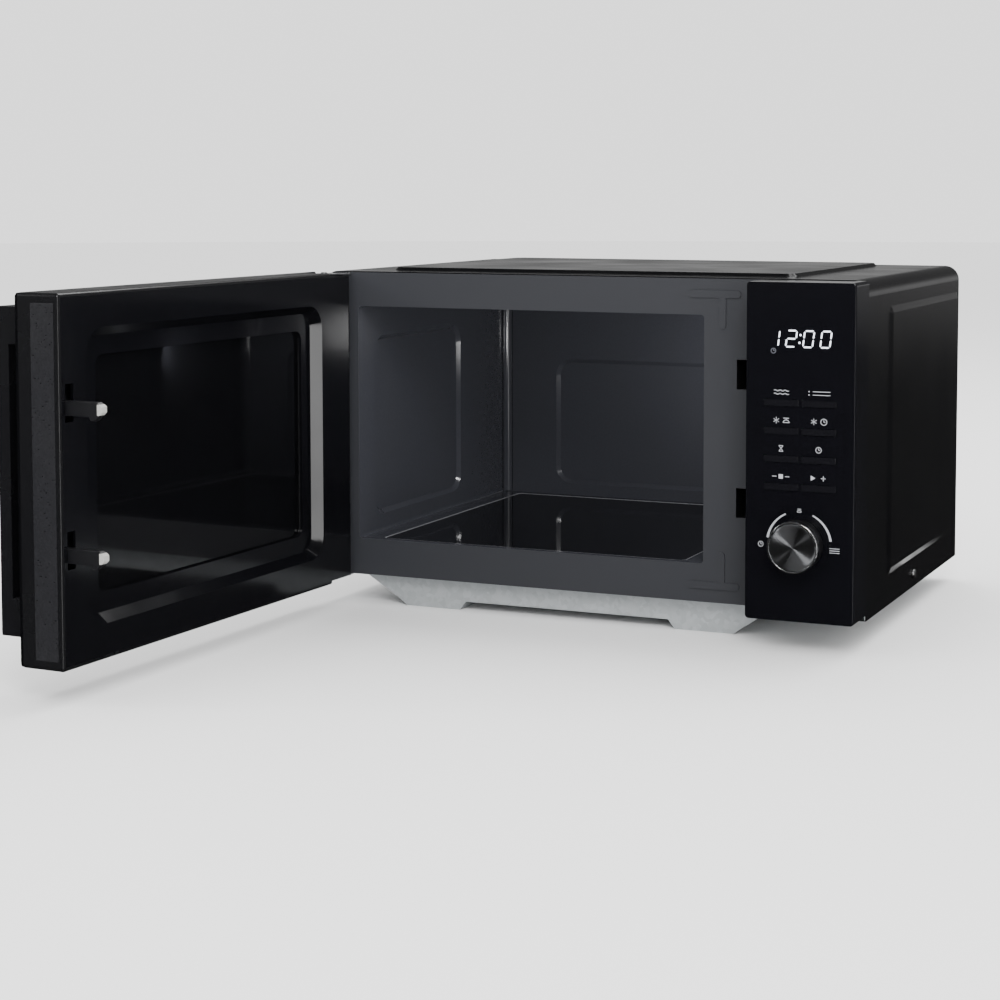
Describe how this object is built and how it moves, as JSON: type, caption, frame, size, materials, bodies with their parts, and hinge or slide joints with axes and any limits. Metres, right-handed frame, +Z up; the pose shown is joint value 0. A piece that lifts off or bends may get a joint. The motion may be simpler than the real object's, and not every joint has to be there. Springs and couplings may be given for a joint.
{
  "type": "microwave oven",
  "caption": "Countertop flatbed microwave oven with a side-hung door, a bar handle, a hooked latch, a tall control panel with narrow keys and a rotary knob, and its working parts inside.",
  "frame": {"origin": "centre of the cabinet's footprint, on the plane that the feet stand on", "axes": "+X to the right of a person facing the door, +Y from the front to the back, +Z up"},
  "size_m": [0.5365, 0.7392, 0.294],
  "materials": {
    "cover_enamel": "gloss black powder coat",
    "galvanised_steel": "satin zinc",
    "front_enamel": "dark grey enamel",
    "cavity_enamel": "grey enamel",
    "black_glass_ceramic": "polished",
    "seal_silicone": "matt",
    "black_steel": "satin black",
    "bright_steel": "plated",
    "steel_works": "plain",
    "fin_aluminium": "plain",
    "core_steel": "varnished laminations",
    "winding_copper": "enamelled wire",
    "works_plastic": "natural",
    "switch_plastic": "satin",
    "circuit_board": "laminate",
    "lamp_glass": "clear",
    "panel_plastic": "piano black",
    "key_plastic": "gloss black",
    "knob_plastic": "satin black",
    "spun_aluminium": "turned face",
    "door_plastic": "fine moulded texture",
    "choke_cover_plastic": "gloss black",
    "door_glass": "black back-printed",
    "window_film": "smoked clear film",
    "handle_plastic": "satin black",
    "latch_plastic": "acetal"
  },
  "bodies": {
    "cabinet": {"outer_cover": "cover_enamel", "base_plate": "galvanised_steel", "cavity_front_plate": "front_enamel", "cavity_liner": "cavity_enamel", "rear_panel": "galvanised_steel", "ceramic_floor_plate": "black_glass_ceramic", "floor_seal": "seal_silicone", "rear_spacers": "switch_plastic", "cord_gland": "switch_plastic", "cover_screws": "bright_steel", "hinge_bracket_lower": "black_steel", "hinge_bracket_upper": "black_steel", "waveguide": "galvanised_steel", "magnetron": "steel_works", "magnetron_fins": "fin_aluminium", "transformer_core": "core_steel", "transformer_windings": "winding_copper", "high_voltage_capacitor": "fin_aluminium", "capacitor_clamp": "galvanised_steel", "high_voltage_diode": "works_plastic", "fan_shroud": "works_plastic", "fan_motor": "steel_works", "stirrer_motor": "steel_works", "lamp_holder": "galvanised_steel", "cavity_lamp": "lamp_glass", "latch_board": "works_plastic", "interlock_switches": "switch_plastic", "noise_filter_board": "circuit_board", "thermal_cutouts": "works_plastic", "control_panel_frame": "panel_plastic", "display_window": "panel_plastic", "display_module": "switch_plastic", "control_board": "circuit_board", "tact_switches": "switch_plastic", "rotary_encoder": "switch_plastic"},
    "door": {"door_outer_frame": "door_plastic", "door_front_glass": "door_glass", "door_choke_panel": "black_steel", "door_choke_cover": "choke_cover_plastic", "door_inner_film": "window_film", "door_handle": "handle_plastic", "handle_screws": "bright_steel", "hinge_pins": "bright_steel"},
    "latch": {"door_latch": "latch_plastic", "latch_spring": "bright_steel"},
    "knob": {"knob_body": "knob_plastic", "knob_ring": "bright_steel", "knob_face": "spun_aluminium"},
    "key_power": {"key_power": "key_plastic"},
    "key_menu": {"key_menu": "key_plastic"},
    "key_defrost_weight": {"key_defrost_weight": "key_plastic"},
    "key_defrost_time": {"key_defrost_time": "key_plastic"},
    "key_timer": {"key_timer": "key_plastic"},
    "key_clock": {"key_clock": "key_plastic"},
    "key_stop": {"key_stop": "key_plastic"},
    "key_start": {"key_start": "key_plastic"},
    "fan": {"fan_blade": "works_plastic"},
    "stirrer": {"stirrer_antenna": "fin_aluminium"},
    "plunger_upper": {"interlock_plunger_upper": "works_plastic"},
    "plunger_lower": {"interlock_plunger_lower": "works_plastic"}
  },
  "joints": [
    {"name": "door_hinge", "type": "hinge", "parent": "cabinet", "child": "door", "pos_m": [-0.231, -0.1844, 0.158], "axis": [0, 0, 1], "range_deg": [-18, 92]},
    {"name": "latch_slide", "type": "slide", "parent": "door", "child": "latch", "axis": [0, 0, 1], "range_m": [0, 0.008], "stiffness_N_per_m": 120, "springref_m": -0.01, "deforming": ["latch_spring"]},
    {"name": "knob_spin", "type": "hinge", "parent": "cabinet", "child": "knob", "pos_m": [0.1985, -0.2004, 0.0865], "axis": [0, -1, 0], "continuous": true},
    {"name": "key_power_press", "type": "slide", "parent": "cabinet", "child": "key_power", "axis": [0, 1, 0], "range_m": [0, 0.0012], "stiffness_N_per_m": 800, "springref_m": -0.0004},
    {"name": "key_menu_press", "type": "slide", "parent": "cabinet", "child": "key_menu", "axis": [0, 1, 0], "range_m": [0, 0.0012], "stiffness_N_per_m": 800, "springref_m": -0.0004},
    {"name": "key_defrost_weight_press", "type": "slide", "parent": "cabinet", "child": "key_defrost_weight", "axis": [0, 1, 0], "range_m": [0, 0.0012], "stiffness_N_per_m": 800, "springref_m": -0.0004},
    {"name": "key_defrost_time_press", "type": "slide", "parent": "cabinet", "child": "key_defrost_time", "axis": [0, 1, 0], "range_m": [0, 0.0012], "stiffness_N_per_m": 800, "springref_m": -0.0004},
    {"name": "key_timer_press", "type": "slide", "parent": "cabinet", "child": "key_timer", "axis": [0, 1, 0], "range_m": [0, 0.0012], "stiffness_N_per_m": 800, "springref_m": -0.0004},
    {"name": "key_clock_press", "type": "slide", "parent": "cabinet", "child": "key_clock", "axis": [0, 1, 0], "range_m": [0, 0.0012], "stiffness_N_per_m": 800, "springref_m": -0.0004},
    {"name": "key_stop_press", "type": "slide", "parent": "cabinet", "child": "key_stop", "axis": [0, 1, 0], "range_m": [0, 0.0012], "stiffness_N_per_m": 800, "springref_m": -0.0004},
    {"name": "key_start_press", "type": "slide", "parent": "cabinet", "child": "key_start", "axis": [0, 1, 0], "range_m": [0, 0.0012], "stiffness_N_per_m": 800, "springref_m": -0.0004},
    {"name": "fan_spin", "type": "hinge", "parent": "cabinet", "child": "fan", "pos_m": [0.1723, 0.1388, 0.18], "axis": [0, 1, 0], "continuous": true},
    {"name": "stirrer_spin", "type": "hinge", "parent": "cabinet", "child": "stirrer", "pos_m": [-0.0516, -0.0078, 0.042], "axis": [0, 0, 1], "continuous": true},
    {"name": "plunger_upper_press", "type": "slide", "parent": "cabinet", "child": "plunger_upper", "axis": [1, 0, 0], "range_m": [0, 0.001], "stiffness_N_per_m": 400, "springref_m": -0.0004},
    {"name": "plunger_lower_press", "type": "slide", "parent": "cabinet", "child": "plunger_lower", "axis": [1, 0, 0], "range_m": [0, 0.001], "stiffness_N_per_m": 400, "springref_m": -0.0004}
  ]
}
